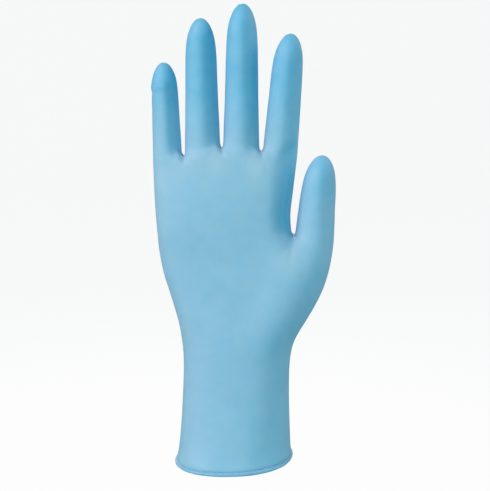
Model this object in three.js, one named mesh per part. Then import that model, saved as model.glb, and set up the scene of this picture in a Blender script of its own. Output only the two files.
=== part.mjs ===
// A nitrile exam glove, small size, in the form that a hand gives it. Millimetres, +Z up.
// The fingers point up, the thumb is at +X, and the side that faces -Y is the one usually shown.
// The origin is the middle of the cuff's opening, level with its lowest edge, where the wrist goes in.
// The glove is one dipped film, hollow to the fingertips and open at the cuff. Its edge is a rolled bead.

import * as THREE from "three";

// The real film is thinner; this wall is the least that makes a sound solid.
const WALL = 1;
const BEAD_DIAMETER = 2.6;

// Cuff: the oval at the film's lower end. The skew moves its front to the left, as a share of its depth.
const CUFF_WIDTH = 61.6;
const CUFF_DEPTH = 52.5;
const CUFF_SKEW = 0.17;
const CUFF_SQUARE = 2.2;

// Wrist: the narrowest oval, and how high it is. A squareness of 2 is an ellipse, here and below.
const WRIST_HEIGHT = 52;
const WRIST_WIDTH = 56.7;
const WRIST_DEPTH = 39;
const WRIST_SHIFT = 1.2;
const WRIST_SQUARE = 2.3;

// Palm: from the thumb's crotch, where it is narrowest, up to the line of the finger crotches.
const THUMB_CROTCH_HEIGHT = 125.5;
const PALM_WIDTH = 69.4;
const PALM_DEPTH = 30;
const PALM_SHIFT = -5.3;
const PALM_SQUARE = 3.4;
const KNUCKLE_HEIGHT = 172;
const KNUCKLE_DEPTH = 22;
const KNUCKLE_SHIFT = -4.35;
const KNUCKLE_SQUARE = 2.7;

// Digits: width across the base, and length from the crotch line to the tip.
const LITTLE_WIDTH = 15.4;
const LITTLE_LENGTH = 43.5;
const RING_WIDTH = 18.7;
const RING_LENGTH = 66;
const MIDDLE_WIDTH = 19.3;
const MIDDLE_LENGTH = 73.2;
const INDEX_WIDTH = 18.7;
const INDEX_LENGTH = 58.2;
const THUMB_WIDTH = 21.3;
const THUMB_LENGTH = 42.3;

// The strip of film between two neighbouring digits, and how far the highest finger crotch rises.
const WEB_WIDTH = 1.2;
const WEB_RISE = 2.6;

// A digit's depth and the length of its domed end, as shares of its width at the base.
const DIGIT_DEPTH = 0.94;
const DOME = 0.94;

// Columns of points across a digit's front or back, down each of its flanks, and round the bead.
const FACE_COLUMNS = 5;
const FLANK_COLUMNS = 3;
const BEAD_COLUMNS = 12;

// taper is the width where the dome begins, as a share of the base's. lean is how far the tip lies to the
// right, as a share of the length. left and right are the crotches' rises, as shares of WEB_RISE.
const FINGERS = [
  { width: LITTLE_WIDTH, length: LITTLE_LENGTH, taper: 0.91, lean: -0.03, left: -1, right: -0.95 },
  { width: RING_WIDTH, length: RING_LENGTH, taper: 0.87, lean: -0.009, left: -0.95, right: 0.9 },
  { width: MIDDLE_WIDTH, length: MIDDLE_LENGTH, taper: 0.85, lean: 0.007, left: 0.9, right: -0.15 },
  { width: INDEX_WIDTH, length: INDEX_LENGTH, taper: 0.88, lean: 0.082, left: -0.15, right: -0.6 },
];
const THUMB = { width: THUMB_WIDTH, length: THUMB_LENGTH, taper: 0.89, lean: 0.08, left: 0, right: 0 };

// Rings of a digit: shares of its straight part, then angles up its dome.
const STRAIGHT_RINGS = [0.09, 0.24, 0.45, 0.66, 0.85, 1];
const DOME_RINGS = [24, 45, 62, 77];

// up is a share of the wrist's height. spread runs from the wrist's oval (0) to the cuff's (1).
const CUFF_SECTIONS = [
  { up: 0.16, spread: 0.72 },
  { up: 0.38, spread: 0.47 },
  { up: 0.66, spread: 0.21 },
  { up: 1, spread: 0 },
];

// Shares of the way from the wrist to the thumb's crotch: of the height, of each side's way out, and of
// the changes in depth and squareness. parting is how far the section has turned from one oval into hand
// and thumb.
const GUSSET_SECTIONS = [
  { up: 0.14, left: 0.01, right: 0.04, depth: 0.1, square: 0.06, parting: 0 },
  { up: 0.24, left: 0.07, right: 0.14, depth: 0.22, square: 0.12, parting: 0 },
  { up: 0.36, left: 0.19, right: 0.385, depth: 0.4, square: 0.2, parting: 0 },
  { up: 0.48, left: 0.385, right: 0.59, depth: 0.58, square: 0.28, parting: 0 },
  { up: 0.6, left: 0.585, right: 0.77, depth: 0.74, square: 0.36, parting: 0 },
  { up: 0.72, left: 0.78, right: 0.875, depth: 0.87, square: 0.42, parting: 0.05 },
  { up: 0.84, left: 0.895, right: 0.94, depth: 0.96, square: 0.46, parting: 0.2 },
  { up: 0.93, left: 0.965, right: 0.975, depth: 1, square: 0.5, parting: 0.55 },
];

// Shares of the way from the thumb's crotch to the finger crotches. fingers is how far the section has
// turned from a flat palm into the bases of the fingers.
const HAND_SECTIONS = [
  { up: 0, left: 0.02, right: 0.29, depth: 0, fingers: 0 },
  { up: 0.09, left: 0.2, right: 0.15, depth: 0.04, fingers: 0 },
  { up: 0.24, left: 0.43, right: 0.02, depth: 0.16, fingers: 0 },
  { up: 0.42, left: 0.68, right: 0.27, depth: 0.36, fingers: 0 },
  { up: 0.6, left: 0.82, right: 0.49, depth: 0.6, fingers: 0 },
  { up: 0.77, left: 0.93, right: 0.71, depth: 0.82, fingers: 0.04 },
  { up: 0.89, left: 0.97, right: 0.88, depth: 0.95, fingers: 0.2 },
  { up: 0.96, left: 1, right: 0.95, depth: 1, fingers: 0.55 },
];

const FILM_COLOUR = 0x6fb2d8;
const BEAD_COLOUR = 0x5fa4cd;
const ROUGHNESS = 0.55;

const RIGHT_ANGLE = 90;
const HALF_FLANK = (FLANK_COLUMNS + 1) / 2;
const SIDES = ["front", "right", "back", "left"];
const { degToRad, lerp } = THREE.MathUtils;

// The front half of an oval section, from its left point to its right point.
class Oval extends THREE.Curve {
  constructor({ left, right, depth, square, skew = 0 }) {
    super();
    Object.assign(this, { left, right, depth, square, skew });
  }

  getPoint(share, target = new THREE.Vector3()) {
    const cosine = Math.cos(Math.PI * share);
    const across = -Math.sign(cosine) * Math.abs(cosine) ** (2 / this.square);
    const deep = Math.sin(Math.PI * share) ** (2 / this.square);
    return target.set(lerp(this.left, this.right, (1 + across) / 2), (-this.depth / 2) * deep, 0);
  }

  // Points at shares of the half's length, all round and counter-clockwise, starting after the left flank.
  loop(shares, height) {
    const front = shares.map((share) => this.getPointAt(share).setZ(height));
    const back = front.slice(1, -1).reverse().map((point) => point.clone().setY(-point.y));
    const whole = [...front, ...back];
    for (const point of whole) point.x += this.skew * point.y;
    return [...whole.slice(HALF_FLANK), ...whole.slice(0, HALF_FLANK)];
  }
}

// Turns an angle of each column into points, side by side: front, right flank, back and left flank.
function digitColumns(pointAt) {
  const corner = RIGHT_ANGLE / 2;
  const arc = (from, count) => Array.from({ length: count }, (_, i) => from + (i * RIGHT_ANGLE) / (count - 1));
  const flank = (from) => arc(from, FLANK_COLUMNS + 2).slice(1, -1);
  return {
    front: arc(-corner - RIGHT_ANGLE, FACE_COLUMNS).map(pointAt),
    right: flank(-corner).map(pointAt),
    back: arc(corner, FACE_COLUMNS).map(pointAt),
    left: flank(corner + RIGHT_ANGLE).map(pointAt),
  };
}

// A digit in its place. inset is how far this surface of it lies inside the film's outer one.
class Digit {
  constructor(sizes, middle, crotch, inset) {
    Object.assign(this, sizes, { middle, inset });
    this.leftHeight = crotch + WEB_RISE * sizes.left - inset;
    this.rightHeight = crotch + WEB_RISE * sizes.right - inset;
    this.foot = (this.leftHeight + this.rightHeight) / 2;
    this.top = crotch + sizes.length - inset;
    this.dome = DOME * sizes.width - inset;
    this.leftEdge = middle - sizes.width / 2 + inset;
    this.rightEdge = middle + sizes.width / 2 - inset;
  }

  // A ring at a height. tapering runs up the straight part, and shrink closes the dome.
  ring(height, tapering, shrink = 1) {
    const half = (this.width / 2) * lerp(1, this.taper, tapering);
    const along = (height - this.foot) / (this.top - this.foot);
    const slope = (this.rightHeight - this.leftHeight) / (this.rightEdge - this.leftEdge);
    return digitColumns((angle) => {
      const across = shrink * (half - this.inset) * Math.cos(degToRad(angle));
      const deep = shrink * (half * DIGIT_DEPTH - this.inset) * Math.sin(degToRad(angle));
      const tilt = slope * (1 - tapering) ** 2 * across;
      return new THREE.Vector3(this.middle + this.lean * this.length * along + across, deep, height + tilt);
    });
  }

  base() {
    return this.ring(this.foot, 0);
  }

  // The rings above the base, up to the last one before the tip.
  upperRings() {
    const shoulder = this.top - this.dome;
    const straight = STRAIGHT_RINGS.map((share) => this.ring(lerp(this.foot, shoulder, share), share));
    const domed = DOME_RINGS.map(degToRad).map((angle) =>
      this.ring(shoulder + this.dome * Math.sin(angle), 1, Math.cos(angle)),
    );
    return [...straight, ...domed];
  }

  tip() {
    return new THREE.Vector3(this.middle + this.lean * this.length, 0, this.top);
  }
}

// The loop of points round rings that stand side by side.
function outline(rings) {
  return [
    ...rings.flatMap((ring) => ring.front),
    ...rings.at(-1).right,
    ...rings.toReversed().flatMap((ring) => ring.back),
    ...rings[0].left,
  ];
}

// The other way about: one loop's points, by side.
function sidesOf(loop) {
  const faceCount = loop.length / 2 - FLANK_COLUMNS;
  const starts = [0, faceCount, faceCount + FLANK_COLUMNS, 2 * faceCount + FLANK_COLUMNS, loop.length];
  return Object.fromEntries(SIDES.map((side, i) => [side, loop.slice(starts[i], starts[i + 1])]));
}

// How far along the front of a loop each of its columns lies, from the left point (0) to the right (1).
function columnShares(loop) {
  const frontCount = loop.length / 2 - FLANK_COLUMNS + HALF_FLANK;
  const line = [...loop.slice(-HALF_FLANK), ...loop.slice(0, frontCount)];
  const run = [0];
  for (let i = 1; i < line.length; i++) run.push(run.at(-1) + line[i].distanceTo(line[i - 1]));
  return run.map((length) => length / run.at(-1));
}

// Points and faces of one surface of the film, each face counter-clockwise seen from outside.
class Surface {
  points = [];
  faces = [];

  add(point) {
    return this.points.push(point) - 1;
  }

  addRing(ring) {
    return Object.fromEntries(SIDES.map((side) => [side, ring[side].map((point) => this.add(point))]));
  }

  // Joins two loops of as many points, the second above the first.
  band(lower, upper) {
    lower.forEach((_, i) => {
      const next = (i + 1) % lower.length;
      this.faces.push([lower[i], lower[next], upper[next], upper[i]]);
    });
  }

  // Adds loops one above the other, from a loop that is already there, and returns the last.
  stack(from, loops) {
    return loops.reduce((below, loop) => {
      const above = loop.map((point) => this.add(point));
      this.band(below, above);
      return above;
    }, from);
  }

  // The strip over a crotch, from front to back.
  web(leftRing, rightRing) {
    const near = [leftRing.front.at(-1), ...leftRing.right, leftRing.back[0]];
    const far = [rightRing.front[0], ...rightRing.left.toReversed(), rightRing.back.at(-1)];
    for (let i = 1; i < near.length; i++) this.faces.push([near[i - 1], far[i - 1], far[i], near[i]]);
  }

  // Sets digits side by side on a loop: their bases, the webs between them, and each one up to its tip.
  branch(from, rings, digits) {
    this.band(from, outline(rings));
    rings.slice(1).forEach((ring, i) => this.web(rings[i], ring));
    for (const [digit, ring] of digits) {
      const last = this.stack(outline([ring]), digit.upperRings().map((upper) => outline([upper])));
      const tip = this.add(digit.tip());
      last.forEach((_, i) => this.faces.push([last[i], last[(i + 1) % last.length], tip]));
    }
  }

  triangles() {
    return this.faces.flatMap(([a, b, c, d]) => (d === undefined ? [a, b, c] : [a, b, c, a, c, d]));
  }
}

// The four fingers, side by side across the knuckles.
function placeFingers(inset) {
  const widths = FINGERS.reduce((sum, finger) => sum + finger.width, 0);
  let edge = KNUCKLE_SHIFT - (widths + WEB_WIDTH * (FINGERS.length - 1)) / 2;
  return FINGERS.map((finger) => {
    const middle = edge + finger.width / 2;
    edge += finger.width + WEB_WIDTH;
    return new Digit(finger, middle, KNUCKLE_HEIGHT, inset);
  });
}

// One surface of the film, and the loop at its lower end. Every size is taken in by the inset.
function filmSurface(inset, foot) {
  const fingers = placeFingers(inset);
  const knuckles = outline(fingers.map((finger) => finger.base()));
  const handShares = columnShares(knuckles);
  const crotch = THUMB_CROTCH_HEIGHT - inset;
  const palmLeft = PALM_SHIFT - PALM_WIDTH / 2 + inset;
  const palmRight = PALM_SHIFT + PALM_WIDTH / 2 - inset;
  const handLoops = HAND_SECTIONS.map((row) => {
    const oval = new Oval({
      left: lerp(palmLeft, fingers[0].leftEdge, row.left),
      right: lerp(palmRight, fingers.at(-1).rightEdge, row.right),
      depth: lerp(PALM_DEPTH, KNUCKLE_DEPTH, row.depth) - 2 * inset,
      square: lerp(PALM_SQUARE, KNUCKLE_SQUARE, row.depth),
    });
    return oval.loop(handShares, crotch).map((point, i) => {
      const height = lerp(crotch, knuckles[i].z, row.up);
      return point.lerp(knuckles[i], row.fingers).setZ(height);
    });
  });

  const palmRightEdge = lerp(palmRight, fingers.at(-1).rightEdge, HAND_SECTIONS[0].right) + inset;
  const thumbMiddle = palmRightEdge + WEB_WIDTH + THUMB.width / 2;
  const thumb = new Digit(THUMB, thumbMiddle, THUMB_CROTCH_HEIGHT, inset);
  const parted = outline([sidesOf(handLoops[0]), thumb.base()]);
  const trunkShares = columnShares(parted);

  const wrist = { left: WRIST_SHIFT - WRIST_WIDTH / 2 + inset, right: WRIST_SHIFT + WRIST_WIDTH / 2 - inset };
  const cuffSections = [{ spread: 1, height: foot }, ...CUFF_SECTIONS].map(({ up, spread, height }) => {
    const oval = new Oval({
      left: lerp(wrist.left, inset - CUFF_WIDTH / 2, spread),
      right: lerp(wrist.right, CUFF_WIDTH / 2 - inset, spread),
      depth: lerp(WRIST_DEPTH, CUFF_DEPTH, spread) - 2 * inset,
      square: lerp(WRIST_SQUARE, CUFF_SQUARE, spread),
      skew: CUFF_SKEW * spread,
    });
    return oval.loop(trunkShares, height ?? WRIST_HEIGHT * up);
  });
  const handLeft = lerp(palmLeft, fingers[0].leftEdge, HAND_SECTIONS[0].left);
  const gussetSections = GUSSET_SECTIONS.map((row) => {
    const oval = new Oval({
      left: lerp(wrist.left, handLeft, row.left),
      right: lerp(wrist.right, thumb.rightEdge, row.right),
      depth: lerp(WRIST_DEPTH, PALM_DEPTH, row.depth) - 2 * inset,
      square: lerp(WRIST_SQUARE, PALM_SQUARE, row.square),
    });
    const height = lerp(WRIST_HEIGHT, crotch, row.up);
    return oval.loop(trunkShares, height).map((point, i) => point.lerp(parted[i], row.parting).setZ(height));
  });

  const surface = new Surface();
  const footLoop = cuffSections[0].map((point) => surface.add(point));
  const trunk = surface.stack(footLoop, [...cuffSections.slice(1), ...gussetSections]);
  const hand = surface.addRing(sidesOf(handLoops[0]));
  const thumbBase = surface.addRing(thumb.base());
  surface.branch(trunk, [hand, thumbBase], [[thumb, thumbBase]]);
  const palm = surface.stack(outline([hand]), handLoops.slice(1));
  const bases = fingers.map((finger) => surface.addRing(finger.base()));
  surface.branch(palm, bases, fingers.map((finger, i) => [finger, bases[i]]));
  return { ...surface, triangles: surface.triangles(), footLoop };
}

function makeMesh(name, colour, points, triangles) {
  const geometry = new THREE.BufferGeometry().setFromPoints(points).setIndex(triangles);
  geometry.computeVertexNormals();
  const material = new THREE.MeshStandardMaterial({ color: colour, roughness: ROUGHNESS, metalness: 0 });
  const mesh = new THREE.Mesh(geometry, material);
  mesh.name = name;
  return mesh;
}

// The film: its outer surface, its inner surface turned inside out, and the flat edge between them.
function makeFilm(outer, inner) {
  const count = outer.points.length;
  const turned = inner.triangles.toReversed().map((index) => index + count);
  const edge = outer.footLoop.flatMap((a, i) => {
    const b = outer.footLoop[(i + 1) % outer.footLoop.length];
    return [a, a + count, b + count, a, b + count, b];
  });
  const triangles = [...outer.triangles, ...turned, ...edge];
  return makeMesh("glove_film", FILM_COLOUR, [...outer.points, ...inner.points], triangles);
}

// The bead: a roll under the film's edge all the way round, flat on top where the film seats.
function makeBead(outer, inner) {
  const radius = BEAD_DIAMETER / 2;
  const seatAngle = Math.asin(WALL / BEAD_DIAMETER);
  const sweep = (2 * (Math.PI - seatAngle)) / (BEAD_COLUMNS - 1);
  const points = outer.footLoop.flatMap((index) => {
    const outside = outer.points[index];
    const inside = inner.points[index];
    const middle = outside.clone().lerp(inside, 0.5).setZ(radius);
    const outward = outside.clone().sub(inside).normalize();
    return Array.from({ length: BEAD_COLUMNS }, (_, j) => {
      if (j === 0) return outside.clone();
      if (j === BEAD_COLUMNS - 1) return inside.clone();
      const angle = Math.PI / 2 - seatAngle - j * sweep;
      const lift = new THREE.Vector3(0, 0, radius * Math.sin(angle));
      return middle.clone().addScaledVector(outward, radius * Math.cos(angle)).add(lift);
    });
  });
  const rings = outer.footLoop.length;
  const triangles = points.flatMap((_, k) => {
    const [i, j] = [Math.floor(k / BEAD_COLUMNS), k % BEAD_COLUMNS];
    const corner = (ring, column) => (ring % rings) * BEAD_COLUMNS + (column % BEAD_COLUMNS);
    const [a, b, c, d] = [corner(i, j), corner(i + 1, j), corner(i + 1, j + 1), corner(i, j + 1)];
    return [a, c, b, a, d, c];
  });
  return makeMesh("cuff_bead", BEAD_COLOUR, points, triangles);
}

// The film's edge stands where a chord across the bead is as wide as the wall.
const seatHeight = (BEAD_DIAMETER + Math.sqrt(BEAD_DIAMETER ** 2 - WALL ** 2)) / 2;
const outer = filmSurface(0, seatHeight);
const inner = filmSurface(WALL, seatHeight);

const glove = new THREE.Group();
glove.add(makeFilm(outer, inner), makeBead(outer, inner));

export default glove;
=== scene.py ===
"""A nitrile exam glove in its worn form, held up with the fingers on top, on a plain pale stage.

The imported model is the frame: the film's form and the bead's place are read from it, in metres.
The film is made smooth, thin and slightly uneven, the cuff's edge becomes a rolled bead, and both
get nitrile finishes.
"""

import math
from collections import namedtuple

import bmesh
import bpy
from bpy.props import FloatProperty, FloatVectorProperty, IntProperty, PointerProperty
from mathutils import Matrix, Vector, noise


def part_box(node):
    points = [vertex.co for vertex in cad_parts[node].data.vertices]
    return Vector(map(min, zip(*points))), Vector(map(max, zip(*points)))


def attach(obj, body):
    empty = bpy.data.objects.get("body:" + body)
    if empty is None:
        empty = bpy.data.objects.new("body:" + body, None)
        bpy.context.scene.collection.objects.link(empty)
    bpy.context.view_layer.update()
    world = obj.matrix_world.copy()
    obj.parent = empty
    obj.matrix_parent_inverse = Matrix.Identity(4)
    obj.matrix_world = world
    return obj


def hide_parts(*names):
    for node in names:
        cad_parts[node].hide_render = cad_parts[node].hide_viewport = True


bl_info = {
    "name": "Nitrile exam glove",
    "version": (1, 0, 0),
    "blender": (4, 5, 0),
    "location": "3D View > Sidebar > Glove",
    "description": "Makes the film, the rolled bead and the studio of a nitrile exam glove",
    "category": "Object",
}

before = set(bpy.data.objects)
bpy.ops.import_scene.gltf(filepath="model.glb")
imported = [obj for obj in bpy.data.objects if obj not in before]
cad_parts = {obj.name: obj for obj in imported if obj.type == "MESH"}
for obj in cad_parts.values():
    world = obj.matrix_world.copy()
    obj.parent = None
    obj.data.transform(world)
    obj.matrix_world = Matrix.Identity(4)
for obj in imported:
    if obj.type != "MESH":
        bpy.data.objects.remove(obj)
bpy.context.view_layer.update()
FILM_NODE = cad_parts["glove_film"]
BEAD_LOW, BEAD_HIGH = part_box("cuff_bead")
MM = 0.001

# Points of the cage that are closer than this are one point.
WELD = 0.01 * MM

# The film's parts, from the little finger's side to the thumb's.
HAND, LITTLE, INDEX, THUMB = -1, 0, 3, 4

# The share of the digits' deep colour on the digits that don't have all of it.
DIGIT_DEPTHS = {THUMB: 0.4, LITTLE: 0.65}

# For each crotch, from the little finger's to the thumb's: how pale the web below it is, and the
# share of the slit by which the gap above it narrows.
WEB_PALENESS = (0.2, 0.65, 1, 0.6)
SLIT_SHARES = (1, 1, 0.8, 0.25)

# The steps of height in which the film's width is measured, and how often what hangs on the width
# is averaged with its neighbours.
SPAN_STEP = 2 * MM
SMOOTHING_PASSES = 5

# Where a point of the film lies: its digit, how far it is above the digit's higher crotch, and how
# far below the digit's tip. Below the crotch it is on the hand.
Place = namedtuple("Place", "digit above below_tip")

# The range that most of a noise texture's values lie in.
NOISE_RANGE = (0.3, 0.7)


# Sizes and colours

class FilmSettings(bpy.types.PropertyGroup):
    """The film's thickness, its small unevenness and its colours."""

    thickness: FloatProperty(
        name="Thickness", description="Wall of the visible film",
        default=0.35 * MM, unit="LENGTH",
    )
    smoothing: IntProperty(
        name="Smoothing", description="Subdivision levels of the film", default=2
    )
    unevenness: FloatProperty(
        name="Unevenness", description="How far the film swells and sinks",
        default=0.16 * MM, unit="LENGTH",
    )
    pull: FloatProperty(
        name="Pull", description="Height of the drawn folds under the crotches",
        default=0.12 * MM, unit="LENGTH",
    )
    crease: FloatProperty(
        name="Crease", description="Height of the fold across the little finger",
        default=0.45 * MM, unit="LENGTH",
    )
    slit: FloatProperty(
        name="Slit", description="How far the gaps between the digits narrow to a point",
        default=3 * MM, unit="LENGTH",
    )
    slope: FloatProperty(
        name="Slope", description="How far the thumb side of each form falls back",
        default=0.95 * MM, unit="LENGTH",
    )
    mound: FloatProperty(
        name="Mound", description="Height of the thumb's mound on the palm",
        default=2.4 * MM, unit="LENGTH",
    )
    # The hand's paler colour and the digits' deeper one are partly the film's own tone and partly
    # painted light: they stand in for the flat palm catching more light than the round digits. The
    # digits' colour is also painted as shade along the palm's edge.
    digit_and_shade_colour: FloatVectorProperty(
        name="Digits", description="Colour of the digits",
        subtype="COLOR", size=3, default=(0.145, 0.455, 0.71),
    )
    hand_colour: FloatVectorProperty(
        name="Hand", description="Colour of the palm, back and cuff",
        subtype="COLOR", size=3, default=(0.25, 0.495, 0.7),
    )
    tip_colour: FloatVectorProperty(
        name="Tips", description="Colour of the thick fingertips",
        subtype="COLOR", size=3, default=(0.135, 0.445, 0.71),
    )
    # The webs' colour is laid on paler patches a little below each crotch, towards the little
    # finger's side.
    web_colour: FloatVectorProperty(
        name="Webs", description="Colour of the stretched webs",
        subtype="COLOR", size=3, default=(0.335, 0.56, 0.73),
    )
    inside_colour: FloatVectorProperty(
        name="Inside", description="Colour of the film's inside",
        subtype="COLOR", size=3, default=(0.34, 0.57, 0.75),
    )


class BeadSettings(bpy.types.PropertyGroup):
    """The rolled edge of the cuff."""

    diameter: FloatProperty(
        name="Diameter", description="Thickness of the roll",
        default=BEAD_HIGH.z - BEAD_LOW.z, unit="LENGTH",
    )
    unevenness: FloatProperty(
        name="Unevenness", description="Share by which the roll swells", default=0.07
    )
    lip: FloatProperty(
        name="Lip", description="Depth of the roll's lip, as a share of its radius", default=0.2
    )
    colour: FloatVectorProperty(
        name="Colour", description="Colour of the roll",
        subtype="COLOR", size=3, default=(0.215, 0.49, 0.71),
    )


class StageSettings(bpy.types.PropertyGroup):
    """The camera, the lights and the floor."""

    aim: FloatVectorProperty(
        name="Aim", description="Point that the camera looks at",
        subtype="TRANSLATION", size=3, default=(5.77 * MM, 0, 119.55 * MM),
    )
    distance: FloatProperty(
        name="Distance", description="Camera to that point", default=0.65, unit="LENGTH"
    )
    elevation: FloatProperty(
        name="Elevation", description="Camera above the horizon",
        default=math.radians(12.5), subtype="ANGLE",
    )
    lens: FloatProperty(name="Lens", description="Focal length in millimetres", default=90.23)
    floor_drop: FloatProperty(
        name="Floor drop", description="From the cuff down to the floor",
        default=0.25, unit="LENGTH",
    )
    floor_colour: FloatVectorProperty(
        name="Floor", description="Colour of the floor",
        subtype="COLOR", size=3, default=(0.06, 0.06, 0.06),
    )
    key_power: FloatProperty(
        name="Key", description="Power of the key light", default=23.5, unit="POWER"
    )
    fill_power: FloatProperty(
        name="Fill", description="Power of the front fill", default=3.8, unit="POWER"
    )


# Helpers

def smooth_step(low, high, value):
    """0 at low, 1 at high, and smooth in between."""
    t = min(max((value - low) / (high - low), 0), 1)
    return t * t * (3 - 2 * t)


def bell(offset, width):
    """1 at 0, falling off over a width."""
    return math.exp(-((offset / width) ** 2))


def swell(point, size, seed):
    """Smooth noise from -1 to 1, with swells of about this size."""
    return noise.noise(point / size + Vector((seed, seed, seed)))


def facing_palm(normal):
    """1 where the film faces the palm's side, 0 from the flanks to the back, and smooth between."""
    return smooth_step(0.05, -0.35, normal.y)


def link(name, mesh):
    """A new object with this mesh, in the scene."""
    obj = bpy.data.objects.new(name, mesh)
    bpy.context.scene.collection.objects.link(obj)
    return obj


# The film

def outer_cage():
    """The outer surface of the CAD film, as quads, open at its foot."""
    cage = bmesh.new()
    cage.from_mesh(FILM_NODE.data)
    bmesh.ops.remove_doubles(cage, verts=cage.verts, dist=WELD)
    foot = min(v.co.z for v in cage.verts)
    rim = [f for f in cage.faces if all(v.co.z < foot + WELD for v in f.verts)]
    bmesh.ops.delete(cage, geom=rim, context="FACES")
    top = max(cage.verts, key=lambda v: v.co.z)
    outer, waiting = {top}, [top]
    while waiting:
        vert = waiting.pop()
        for edge in vert.link_edges:
            other = edge.other_vert(vert)
            if other not in outer:
                outer.add(other)
                waiting.append(other)
    inner = [v for v in cage.verts if v not in outer]
    bmesh.ops.delete(cage, geom=inner, context="VERTS")
    bmesh.ops.join_triangles(
        cage, faces=cage.faces, angle_face_threshold=math.pi, angle_shape_threshold=math.pi,
        topology_influence=1,
    )
    return cage


def find_landmarks(cage):
    """The tips of the digits and the crotches between them, each from the little finger on."""
    facing_up, shortest_digit = 0.7, 20 * MM
    cage.normal_update()
    tips = [
        v.co.copy() for v in cage.verts
        if all(e.other_vert(v).co.z < v.co.z for e in v.link_edges) and not v.is_boundary
    ]
    tips.sort(key=lambda p: p.x)
    crotches = []
    for left, right in zip(tips, tips[1:]):
        highest = min(left.z, right.z) - shortest_digit
        web = [
            v.co for v in cage.verts
            if v.normal.z > facing_up and left.x < v.co.x < right.x and v.co.z < highest
        ]
        crotches.append(sum(web, Vector()) / len(web))
    return tips, crotches


def place_on_digit(point, tips, crotches):
    """The digit that a point belongs to, and how far up or down it lies there."""
    digit = 0
    for i, crotch in enumerate(crotches):
        between = (tips[i] + tips[i + 1]) / 2
        share = (point.z - crotch.z) / (between.z - crotch.z)
        if point.x > crotch.x + share * (between.x - crotch.x):
            digit = i + 1
    base = max(crotch.z for crotch in crotches[max(digit - 1, 0) : digit + 1])
    return Place(digit, point.z - base, tips[digit].z - point.z)


def width_spans(points, places):
    """The leftmost and rightmost x of the hand and of each digit, in steps of height."""
    spans = {}
    for point, place in zip(points, places):
        key = (place.digit if place.above > 0 else HAND, round(point.z / SPAN_STEP))
        low, high = spans.get(key, (point.x, point.x))
        spans[key] = (min(low, point.x), max(high, point.x))
    return spans


def share_of_width(point, part, spans):
    """How far across its part a point lies: 0 at the little finger's side and 1 at the thumb's."""
    level = point.z / SPAN_STEP
    under = math.floor(level)
    nearest = (part, round(level))
    low, high = spans.get((part, under), spans[nearest])
    low_above, high_above = spans.get((part, under + 1), spans[nearest])
    low += (level - under) * (low_above - low)
    high += (level - under) * (high_above - high)
    return (point.x - low) / max(high - low, MM)


def film_shift(point, settings, crotches):
    """How far the film stands out at a point: broad and small swells, and folds fanning out below
    the crotches."""
    broad, small, small_share = 26 * MM, 9 * MM, 0.35
    fold_start, fold_fade, fold_end = 4 * MM, 11 * MM, 30 * MM
    waves_per_radian, wander = 11, 1.5
    shift = settings.unevenness * swell(point, broad, seed=3)
    shift += small_share * settings.unevenness * swell(point, small, seed=11)
    for crotch in crotches:
        below = crotch - point
        reach = math.hypot(below.x, below.z)
        if below.z > 0 and reach < fold_end:
            angle = math.atan2(below.x, below.z)
            fan = math.cos(waves_per_radian * angle + wander * swell(crotch, 7 * MM, seed=5))
            rise = smooth_step(0, fold_start, reach)
            shift += settings.pull * fan * rise * bell(reach, fold_fade)
    return shift


def mound_shift(point, normal, settings, crotches):
    """The thumb's mound: a ridge on the palm that runs from the thumb's base down to the wrist."""
    thumb_crotch = crotches[-1]
    top = thumb_crotch + Vector((3 * MM, 0, -12 * MM))
    foot = thumb_crotch + Vector((-17 * MM, 0, -58 * MM))
    half_width = 12 * MM
    rises, sinks = (-0.45, 0.1), (1.3, 0.45)
    down = foot - top
    share = (point - top).dot(down) / down.length_squared
    across = (point.x - top.x) * down.z - (point.z - top.z) * down.x
    aside = across / down.length
    palm_side = smooth_step(0, -0.5, normal.y)
    ends = smooth_step(*rises, share) * smooth_step(*sinks, share)
    return settings.mound * palm_side * ends * bell(aside, half_width)


def edge_band(point, place, crotches, spans):
    """How deep a point lies in the band along the palm's edge over the thumb and up the index
    finger, from 0 to 1. The film falls back in this band, and the band is also darkened with
    painted shade."""
    across_hand, across_index, over_thumb = (0.82, 0.96), (0.36, 0.88), 4 * MM
    if place.above <= 0:
        up_from_thumb = smooth_step(0, over_thumb, point.z - crotches[-1].z)
        return smooth_step(*across_hand, share_of_width(point, HAND, spans)) * up_from_thumb
    if place.digit == INDEX:
        return smooth_step(*across_index, share_of_width(point, INDEX, spans))
    return 0


def slope_shift(point, normal, place, band, settings, spans):
    """The palm side falls back towards the thumb's side of each digit, of the palm and of the
    cuff."""
    flank, flank_width = 0.62, 0.3
    band_fall, ridge_fall = 2.1, 1.5
    across_digit, under_tip = (0.42, 0.82), (2 * MM, 17 * MM)
    full_height = 16 * MM if place.digit == THUMB else 5 * MM
    fall = bell(normal.x - flank, flank_width) + band_fall * band
    if place.above > 0:
        across = smooth_step(*across_digit, share_of_width(point, place.digit, spans))
        ridge = ridge_fall * across * smooth_step(*under_tip, place.below_tip)
        grown = smooth_step(0, full_height, place.above)
        fall += grown * (ridge - fall)
    return -settings.slope * facing_palm(normal) * fall


def slit_drop(point, settings, crotches):
    """How far a point sinks where two digits meet, so that the gap between them narrows."""
    half_width, height = 1.3 * MM, 4.5 * MM
    return settings.slit * max(
        share * bell(point.x - crotch.x, half_width) * bell(point.z - crotch.z, height)
        for crotch, share in zip(crotches, SLIT_SHARES)
    )


def smoothed(values, skin):
    """The vertices' values, each averaged with its neighbours' a few times."""
    for _ in range(SMOOTHING_PASSES):
        beside = [[values[e.other_vert(v).index] for e in v.link_edges] for v in skin.verts]
        values = [(value + sum(near) / len(near)) / 2 for value, near in zip(values, beside)]
    return values


def height_above_crease(point, tips):
    """How far a point lies above the slanting fold across the little finger."""
    below_tip, slant = 13.5 * MM, 0.12
    tip = tips[LITTLE]
    return point.z - (tip.z - below_tip + slant * (point.x - tip.x))


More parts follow.
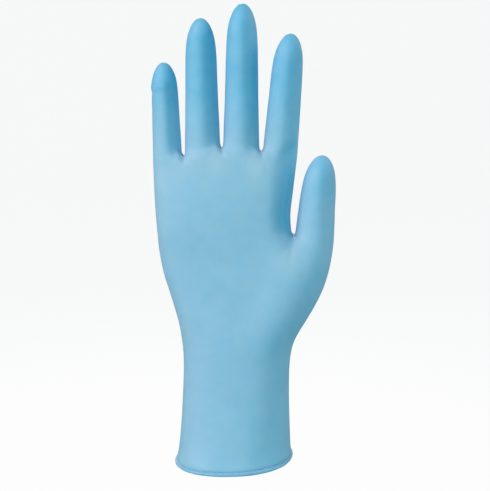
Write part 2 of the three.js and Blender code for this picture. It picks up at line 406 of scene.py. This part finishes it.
def crease_shift(point, settings, tips):
    """The fold across the outer half of the little finger: the tip's film hangs a little over."""
    outer_half, lip, overhang_height = (3.5 * MM, -2 * MM), (-0.7 * MM, 0.9 * MM), 5 * MM
    groove_share, groove_at, groove_width = 0.4, -1.5 * MM, 1.5 * MM
    above = height_above_crease(point, tips)
    side = smooth_step(*outer_half, point.x - tips[LITTLE].x)
    overhang = smooth_step(*lip, above) * bell(above, overhang_height)
    groove = groove_share * bell(above - groove_at, groove_width)
    return settings.crease * side * (overhang - groove)


def colour_shares(point, normal, place, band, tips, crotches):
    """How much of the digits', the tips' and the webs' colour a point has, from 0 to 1. The
    digits' deep colour is also laid on the palm's edge band as painted shade.
    """
    fold, deepening, painted_edge_shade = (-0.9 * MM, 0.9 * MM), (-8 * MM, 38 * MM), 0.75
    tip_fade, tip_base = (30 * MM, 4 * MM), 8 * MM
    web_aside, web_down, web_width, web_height = 4 * MM, 10 * MM, 6 * MM, 8 * MM
    depth = DIGIT_DEPTHS.get(place.digit, 1)
    if place.digit == LITTLE:
        depth += (1 - depth) * smooth_step(*fold, height_above_crease(point, tips))
    up_the_digit = depth * smooth_step(*deepening, place.above)
    near_tip = smooth_step(*tip_fade, place.below_tip) * smooth_step(0, tip_base, place.above)
    webs = [
        pale
        * bell(point.x - crotch.x + web_aside, web_width)
        * bell(point.z - crotch.z + web_down, web_height)
        for crotch, pale in zip(crotches, WEB_PALENESS)
    ]
    return {
        # The palm's edge band takes the digits' deep colour as painted shade.
        "digit": max(up_the_digit, painted_edge_shade * band * facing_palm(normal)),
        "tip": depth * near_tip,
        "web": max(webs),
    }


def smooth_mesh(cage, settings):
    """The cage's surface after its subdivision."""
    mesh = bpy.data.meshes.new("glove film cage")
    cage.to_mesh(mesh)
    rough = link("glove_film_cage", mesh)
    smoothing = rough.modifiers.new("Smoothing", "SUBSURF")
    smoothing.levels = smoothing.render_levels = settings.smoothing
    smoothing.boundary_smooth = "PRESERVE_CORNERS"
    depsgraph = bpy.context.evaluated_depsgraph_get()
    smooth = bpy.data.meshes.new_from_object(rough.evaluated_get(depsgraph))
    bpy.data.objects.remove(rough)
    return smooth


def shape_skin(skin, settings, tips, crotches):
    """Colour the skin's vertices and move them to the worn film's form."""
    foot_drop, still_foot, full_height = 1.2 * MM, 2 * MM, 12 * MM
    layers = {name: skin.verts.layers.float.new(name) for name in ("digit", "tip", "web")}
    places = [place_on_digit(v.co, tips, crotches) for v in skin.verts]
    spans = width_spans([v.co for v in skin.verts], places)
    bands = [edge_band(v.co, place, crotches, spans) for v, place in zip(skin.verts, places)]
    falls = [
        slope_shift(v.co, v.normal, place, band, settings, spans)
        for v, place, band in zip(skin.verts, places, bands)
    ]
    bands, falls = smoothed(bands, skin), smoothed(falls, skin)
    for vert, place, band, fall in zip(skin.verts, places, bands, falls):
        point = vert.co.copy()
        shares = colour_shares(point, vert.normal, place, band, tips, crotches)
        for name, share in shares.items():
            vert[layers[name]] = share
        if vert.is_boundary:
            vert.co.z -= foot_drop
            continue
        fade = smooth_step(still_foot, full_height, point.z)
        shift = fade * film_shift(point, settings, crotches)
        if place.digit == LITTLE:
            shift += crease_shift(point, settings, tips)
        shift += mound_shift(point, vert.normal, settings, crotches)
        shift += fade * fall
        vert.co += shift * vert.normal
        vert.co.z -= slit_drop(point, settings, crotches)


def build_film(settings):
    """The film as one smooth, thin and closed skin."""
    cage = outer_cage()
    tips, crotches = find_landmarks(cage)
    mesh = smooth_mesh(cage, settings)
    cage.free()
    skin = bmesh.new()
    skin.from_mesh(mesh)
    skin.normal_update()
    shape_skin(skin, settings, tips, crotches)
    skin.to_mesh(mesh)
    skin.free()
    mesh.name = "glove film"
    film = link("nitrile_film", mesh)
    mesh.shade_smooth()
    wall = film.modifiers.new("Wall", "SOLIDIFY")
    wall.thickness = settings.thickness
    wall.offset = -1
    wall.use_even_offset = True
    wall.material_offset = 1
    wall.material_offset_rim = 1
    return film


# The bead

def foot_loop(film):
    """The film's outer edge at the foot, in order round the cuff."""
    skin = bmesh.new()
    skin.from_mesh(film.data)
    skin.verts.ensure_lookup_table()
    start = next(v for v in skin.verts if v.is_boundary)
    loop, seen, vert = [], set(), start
    while vert:
        seen.add(vert)
        loop.append(vert.co.copy())
        beside = [e.other_vert(vert) for e in vert.link_edges if e.is_boundary]
        vert = next((other for other in beside if other not in seen), None)
    skin.free()
    return loop


def bead_profile(settings, sides):
    """Distances from the roll's middle, by angle from outwards through the top. The lip is on the
    outside, below the top."""
    lip_angle, lip_width = math.radians(62), 0.22
    slope_share, slope_width = 0.35, 1.2
    radius = settings.diameter / 2
    profile = []
    for side in range(sides):
        angle = 2 * math.pi * side / sides
        turn = (angle - lip_angle) % (2 * math.pi)
        notch = bell(min(turn, 2 * math.pi - turn), lip_width)
        notch += slope_share * bell(turn, slope_width)
        profile.append((angle, radius * (1 - settings.lip * notch)))
    return profile


def build_bead(settings, film):
    """The rolled edge: a round roll with a lip, a little uneven, all round the film's foot."""
    inset, wave, fit, ripple_share = 0.15 * MM, 0.12 * MM, 0.94, 0.25
    loop = foot_loop(film)
    middle = sum(loop, Vector()) / len(loop)
    profile = bead_profile(settings, sides=28)
    radius = settings.diameter / 2
    roll = bmesh.new()
    rings = []
    for i, point in enumerate(loop):
        along = (loop[(i + 1) % len(loop)] - loop[i - 1]).normalized()
        outward = Vector((along.y, -along.x, 0))
        if outward.dot(point - middle) < 0:
            outward.negate()
        swells = swell(point, 9 * MM, seed=21) + 0.5 * swell(point, 3 * MM, seed=23)
        swelling = 1 + settings.unevenness * swells
        centre = point - outward * inset
        centre.z = radius + wave * swell(point, 14 * MM, seed=27)
        ring = []
        for angle, reach in profile:
            side = point + outward * reach * math.cos(angle)
            ripple = 1 + ripple_share * settings.unevenness * swell(side, 1.5 * MM, seed=31)
            span = fit * reach * swelling * ripple
            aside = math.cos(angle) * outward + Vector((0, 0, math.sin(angle)))
            ring.append(roll.verts.new(centre + span * aside))
        rings.append(ring)
    for i, ring in enumerate(rings):
        after = rings[(i + 1) % len(rings)]
        for j in range(len(ring)):
            k = (j + 1) % len(ring)
            roll.faces.new((ring[j], ring[k], after[k], after[j]))
    bmesh.ops.recalc_face_normals(roll, faces=roll.faces)
    mesh = bpy.data.meshes.new("cuff bead")
    roll.to_mesh(mesh)
    roll.free()
    mesh.shade_smooth()
    return link("rolled_bead", mesh)


# Materials

class Nodes:
    """A material's node tree, with short ways to add and join its nodes."""

    def __init__(self, name):
        self.material = bpy.data.materials.new(name)
        self.material.use_nodes = True
        self.tree = self.material.node_tree
        self.shader = self.tree.nodes["Principled BSDF"]

    def add(self, kind, **values):
        """A node of a kind. Names with a capital are its sockets, and the others its own values."""
        node = self.tree.nodes.new(kind)
        for key, value in values.items():
            if key[0].isupper():
                node.inputs[key.replace("_", " ")].default_value = value
            else:
                setattr(node, key, value)
        return node

    def join(self, output, target):
        """A link from an output to an input."""
        self.tree.links.new(output, target)

    def mix(self, share, first, second):
        """A colour between two. Each is a colour or an output."""
        first_colour, second_colour, result_colour = 6, 7, 2
        node = self.add("ShaderNodeMix", data_type="RGBA")
        self.join(share, node.inputs["Factor"])
        for value, number in ((first, first_colour), (second, second_colour)):
            if isinstance(value, bpy.types.NodeSocket):
                self.join(value, node.inputs[number])
            else:
                node.inputs[number].default_value = (*value, 1)
        return node.outputs[result_colour]

    def between(self, value, low, high, to_low, to_high):
        """A value's range mapped to another."""
        node = self.add(
            "ShaderNodeMapRange", From_Min=low, From_Max=high, To_Min=to_low, To_Max=to_high
        )
        self.join(value, node.inputs["Value"])
        return node.outputs["Result"]

    def grain(self, size, detail=3):
        """Noise with features of about this size in metres, in the frame's own coordinates."""
        node = self.add("ShaderNodeTexNoise", Scale=1 / size, Detail=detail)
        self.join(self.place, node.inputs["Vector"])
        return node.outputs["Fac"]

    @property
    def place(self):
        """A point's place on the object."""
        found = self.tree.nodes.get("Place") or self.add("ShaderNodeTexCoord", name="Place")
        return found.outputs["Object"]

    def bump(self, height, depth, strength, normal=None):
        """A bump of this depth in metres on top of another normal."""
        node = self.add("ShaderNodeBump", Strength=strength, Distance=depth)
        self.join(height, node.inputs["Height"])
        if normal:
            self.join(normal, node.inputs["Normal"])
        return node.outputs["Normal"]

    def layer(self, name):
        """A value that the mesh keeps on its vertices."""
        return self.add("ShaderNodeAttribute", attribute_name=name).outputs["Fac"]


def nitrile_finish(nodes):
    """What all the nitrile shares: a satin film with a faint sheen."""
    shader = nodes.shader
    shader.inputs["Metallic"].default_value = 0
    shader.inputs["IOR"].default_value = 1.46
    shader.inputs["Specular IOR Level"].default_value = 0.5
    shader.inputs["Sheen Weight"].default_value = 0.05
    shader.inputs["Sheen Roughness"].default_value = 0.5
    shader.inputs["Subsurface Weight"].default_value = 0.25
    shader.inputs["Subsurface Radius"].default_value = (0.35, 0.9, 1.2)
    shader.inputs["Subsurface Scale"].default_value = 2.5 * MM


def outside_material(settings):
    """The film's outside: paler on the hand and the webs, deeper on the digits and the palm's
    edge, with a fine grip on the tips. The hand's paleness against the digits is partly painted
    light, and the deeper palm's edge is painted shade."""
    nodes = Nodes("nitrile outside")
    nitrile_finish(nodes)
    digits = nodes.mix(nodes.layer("digit"), settings.hand_colour, settings.digit_and_shade_colour)
    tips = nodes.mix(nodes.layer("tip"), digits, settings.tip_colour)
    webs = nodes.mix(nodes.layer("web"), tips, settings.web_colour)
    tone = nodes.add("ShaderNodeHueSaturation")
    mottle = nodes.between(nodes.grain(16 * MM, 4), *NOISE_RANGE, 0.97, 1.03)
    nodes.join(mottle, tone.inputs["Value"])
    saturation = nodes.between(nodes.grain(7 * MM), *NOISE_RANGE, 1.04, 0.96)
    nodes.join(saturation, tone.inputs["Saturation"])
    nodes.join(webs, tone.inputs["Color"])
    nodes.join(tone.outputs["Color"], nodes.shader.inputs["Base Color"])
    roughness = nodes.between(nodes.grain(5 * MM, 5), *NOISE_RANGE, 0.54, 0.64)
    nodes.join(roughness, nodes.shader.inputs["Roughness"])
    dimple_size = 0.75 * MM
    grip = nodes.add(
        "ShaderNodeTexVoronoi", feature="SMOOTH_F1", Scale=1 / dimple_size, Smoothness=0.6
    )
    nodes.join(nodes.place, grip.inputs["Vector"])
    dimple = nodes.add("ShaderNodeMath", operation="MULTIPLY")
    nodes.join(grip.outputs["Distance"], dimple.inputs[0])
    nodes.join(nodes.layer("tip"), dimple.inputs[1])
    normal = nodes.bump(nodes.grain(0.5 * MM, 2), depth=0.03 * MM, strength=0.5)
    normal = nodes.bump(nodes.grain(3 * MM, 4), depth=0.12 * MM, strength=0.35, normal=normal)
    normal = nodes.bump(dimple.outputs["Value"], depth=0.07 * MM, strength=0.6, normal=normal)
    nodes.join(normal, nodes.shader.inputs["Normal"])
    return nodes.material


def inside_material(settings):
    """The film's inside: smoother than the outside and a little chalky."""
    nodes = Nodes("nitrile inside")
    nitrile_finish(nodes)
    pale = tuple(0.75 * c + 0.25 for c in settings.inside_colour)
    chalk = nodes.between(nodes.grain(6 * MM, 5), 0.4, 0.75, 0, 0.35)
    colour = nodes.mix(chalk, settings.inside_colour, pale)
    nodes.join(colour, nodes.shader.inputs["Base Color"])
    roughness = nodes.between(nodes.grain(4 * MM), *NOISE_RANGE, 0.55, 0.7)
    nodes.join(roughness, nodes.shader.inputs["Roughness"])
    normal = nodes.bump(nodes.grain(0.8 * MM), depth=0.04 * MM, strength=0.4)
    nodes.join(normal, nodes.shader.inputs["Normal"])
    return nodes.material


def bead_material(settings):
    """The rolled edge: many layers of film, so a deeper blue, with fine lines along the roll."""
    nodes = Nodes("nitrile bead")
    nitrile_finish(nodes)
    deep = tuple(0.88 * c for c in settings.colour)
    layers = nodes.between(nodes.grain(2.2 * MM, 4), 0.35, 0.7, 0, 1)
    nodes.join(nodes.mix(layers, deep, settings.colour), nodes.shader.inputs["Base Color"])
    roughness = nodes.between(nodes.grain(2 * MM), *NOISE_RANGE, 0.42, 0.55)
    nodes.join(roughness, nodes.shader.inputs["Roughness"])
    line_width, drawn_out = 0.35 * MM, (6, 6, 1)
    stretch = nodes.add("ShaderNodeMapping", vector_type="TEXTURE", Scale=drawn_out)
    nodes.join(nodes.place, stretch.inputs["Vector"])
    lines = nodes.add("ShaderNodeTexNoise", Scale=1 / line_width, Detail=2)
    nodes.join(stretch.outputs["Vector"], lines.inputs["Vector"])
    normal = nodes.bump(lines.outputs["Fac"], depth=0.05 * MM, strength=0.5)
    nodes.join(normal, nodes.shader.inputs["Normal"])
    return nodes.material


def floor_material(settings):
    """A plain pale floor that glows a little, so that it stays even from edge to edge."""
    nodes = Nodes("studio floor")
    nodes.shader.inputs["Base Color"].default_value = (*settings.floor_colour, 1)
    nodes.shader.inputs["Roughness"].default_value = 0.9
    nodes.shader.inputs["Specular IOR Level"].default_value = 0.1
    nodes.shader.inputs["Emission Color"].default_value = (1, 1, 1, 1)
    nodes.shader.inputs["Emission Strength"].default_value = 0.91
    return nodes.material


# The stage

def build_floor(settings):
    """A round floor that rises into a dome, so that each view has the same plain ground."""
    flat, bend, height = 2.2, 1, 3
    steps, turns = 12, 64
    angles = [math.radians(90) * step / steps for step in range(1, steps + 1)]
    profile = [(0, 0), (flat, 0)]
    for angle in angles:
        profile.append((flat + bend * math.sin(angle), bend * (1 - math.cos(angle))))
    for angle in angles:
        profile.append(((flat + bend) * math.cos(angle), bend + height * math.sin(angle)))
    bowl = bmesh.new()
    points = [bowl.verts.new((reach, 0, rise - settings.floor_drop)) for reach, rise in profile]
    edges = [bowl.edges.new(pair) for pair in zip(points, points[1:])]
    bmesh.ops.spin(
        bowl, geom=points + edges, axis=(0, 0, 1), cent=(0, 0, 0), angle=2 * math.pi, steps=turns
    )
    bmesh.ops.remove_doubles(bowl, verts=bowl.verts, dist=MM)
    bmesh.ops.recalc_face_normals(bowl, faces=bowl.faces)
    mesh = bpy.data.meshes.new("studio floor")
    bowl.to_mesh(mesh)
    bowl.free()
    mesh.shade_smooth()
    mesh.materials.append(floor_material(settings))
    floor = link("studio_floor", mesh)
    floor.visible_diffuse = False
    floor.visible_glossy = False
    floor.visible_shadow = False


def place_light(name, aim, azimuth, elevation, distance, size, power, colour):
    """A square soft light. Azimuth 0 is where the camera stands, and it grows towards the thumb."""
    data = bpy.data.lights.new(name, "AREA")
    data.shape = "SQUARE"
    data.size = size
    data.energy = power
    data.color = colour
    lamp = bpy.data.objects.new(name, data)
    around, up = math.radians(azimuth), math.radians(elevation)
    away = Vector((math.sin(around) * math.cos(up), -math.cos(around) * math.cos(up), math.sin(up)))
    lamp.location = aim + distance * away
    lamp.rotation_euler = away.to_track_quat("Z", "Y").to_euler()
    bpy.context.scene.collection.objects.link(lamp)


def build_lights(settings):
    """A soft key from the upper left, a weak front fill, faint lights from the right and from
    behind, and an even cool light from all round."""
    aim = Vector(settings.aim)
    place_light(
        "key_light", aim, azimuth=-53, elevation=30, distance=1.5, size=0.9,
        power=settings.key_power, colour=(1, 0.68, 0.62),
    )
    place_light(
        "front_fill", aim, azimuth=6, elevation=5, distance=1, size=0.6,
        power=settings.fill_power, colour=(0.6, 0.98, 1),
    )
    place_light(
        "edge_light", aim, azimuth=100, elevation=25, distance=1, size=0.6,
        power=4.6, colour=(1, 0.66, 0.56),
    )
    place_light(
        "back_light", aim, azimuth=185, elevation=25, distance=1, size=0.6,
        power=6, colour=(1, 0.85, 0.8),
    )
    world = bpy.data.worlds.new("studio")
    world.use_nodes = True
    background = world.node_tree.nodes["Background"]
    background.inputs["Color"].default_value = (0.4, 0.9, 1, 1)
    background.inputs["Strength"].default_value = 0.38
    bpy.context.scene.world = world


def build_camera(settings):
    """The camera, level from side to side, at the photograph's angle."""
    data = bpy.data.cameras.new("camera")
    data.lens = settings.lens
    data.clip_start = 0.01
    camera = bpy.data.objects.new("camera", data)
    away = Vector((0, -math.cos(settings.elevation), math.sin(settings.elevation)))
    camera.location = Vector(settings.aim) + settings.distance * away
    camera.rotation_euler = away.to_track_quat("Z", "Y").to_euler()
    bpy.context.scene.collection.objects.link(camera)
    bpy.context.scene.camera = camera


# Operators and the panel

class GLOVE_OT_film(bpy.types.Operator):
    """Make the glove's film around the CAD film"""

    bl_idname = "glove.film"
    bl_label = "Make film"

    def execute(self, context):
        settings = context.scene.glove_film
        film = build_film(settings)
        film.data.materials.clear()
        film.data.materials.append(outside_material(settings))
        film.data.materials.append(inside_material(settings))
        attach(film, "root")
        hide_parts("glove_film")
        return {"FINISHED"}


class GLOVE_OT_bead(bpy.types.Operator):
    """Roll the cuff's edge into its bead"""

    bl_idname = "glove.bead"
    bl_label = "Make bead"

    def execute(self, context):
        settings = context.scene.glove_bead
        bead = build_bead(settings, bpy.data.objects["nitrile_film"])
        bead.data.materials.append(bead_material(settings))
        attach(bead, "root")
        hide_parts("cuff_bead")
        return {"FINISHED"}


class GLOVE_OT_stage(bpy.types.Operator):
    """Set up the floor, the lights and the camera"""

    bl_idname = "glove.stage"
    bl_label = "Make stage"

    def execute(self, context):
        settings = context.scene.glove_stage
        build_floor(settings)
        build_lights(settings)
        build_camera(settings)
        context.scene.view_settings.view_transform = "Standard"
        return {"FINISHED"}


class GLOVE_PT_panel(bpy.types.Panel):
    """The glove's sizes, colours and steps"""

    bl_idname = "GLOVE_PT_panel"
    bl_label = "Nitrile exam glove"
    bl_space_type = "VIEW_3D"
    bl_region_type = "UI"
    bl_category = "Glove"

    def draw(self, context):
        for operator, group in STEPS:
            settings = getattr(context.scene, group)
            box = self.layout.box()
            for name in settings.__annotations__:
                box.prop(settings, name)
            box.operator(operator.bl_idname)


STEPS = (
    (GLOVE_OT_film, "glove_film"),
    (GLOVE_OT_bead, "glove_bead"),
    (GLOVE_OT_stage, "glove_stage"),
)
GROUPS = {"glove_film": FilmSettings, "glove_bead": BeadSettings, "glove_stage": StageSettings}
CLASSES = (*GROUPS.values(), GLOVE_OT_film, GLOVE_OT_bead, GLOVE_OT_stage, GLOVE_PT_panel)


def register():
    for cls in CLASSES:
        bpy.utils.register_class(cls)
    for name, group in GROUPS.items():
        setattr(bpy.types.Scene, name, PointerProperty(type=group))


def unregister():
    for name in GROUPS:
        delattr(bpy.types.Scene, name)
    for cls in reversed(CLASSES):
        bpy.utils.unregister_class(cls)


def main():
    register()
    bpy.ops.glove.film()
    bpy.ops.glove.bead()
    bpy.ops.glove.stage()


if __name__ == "__main__":
    main()
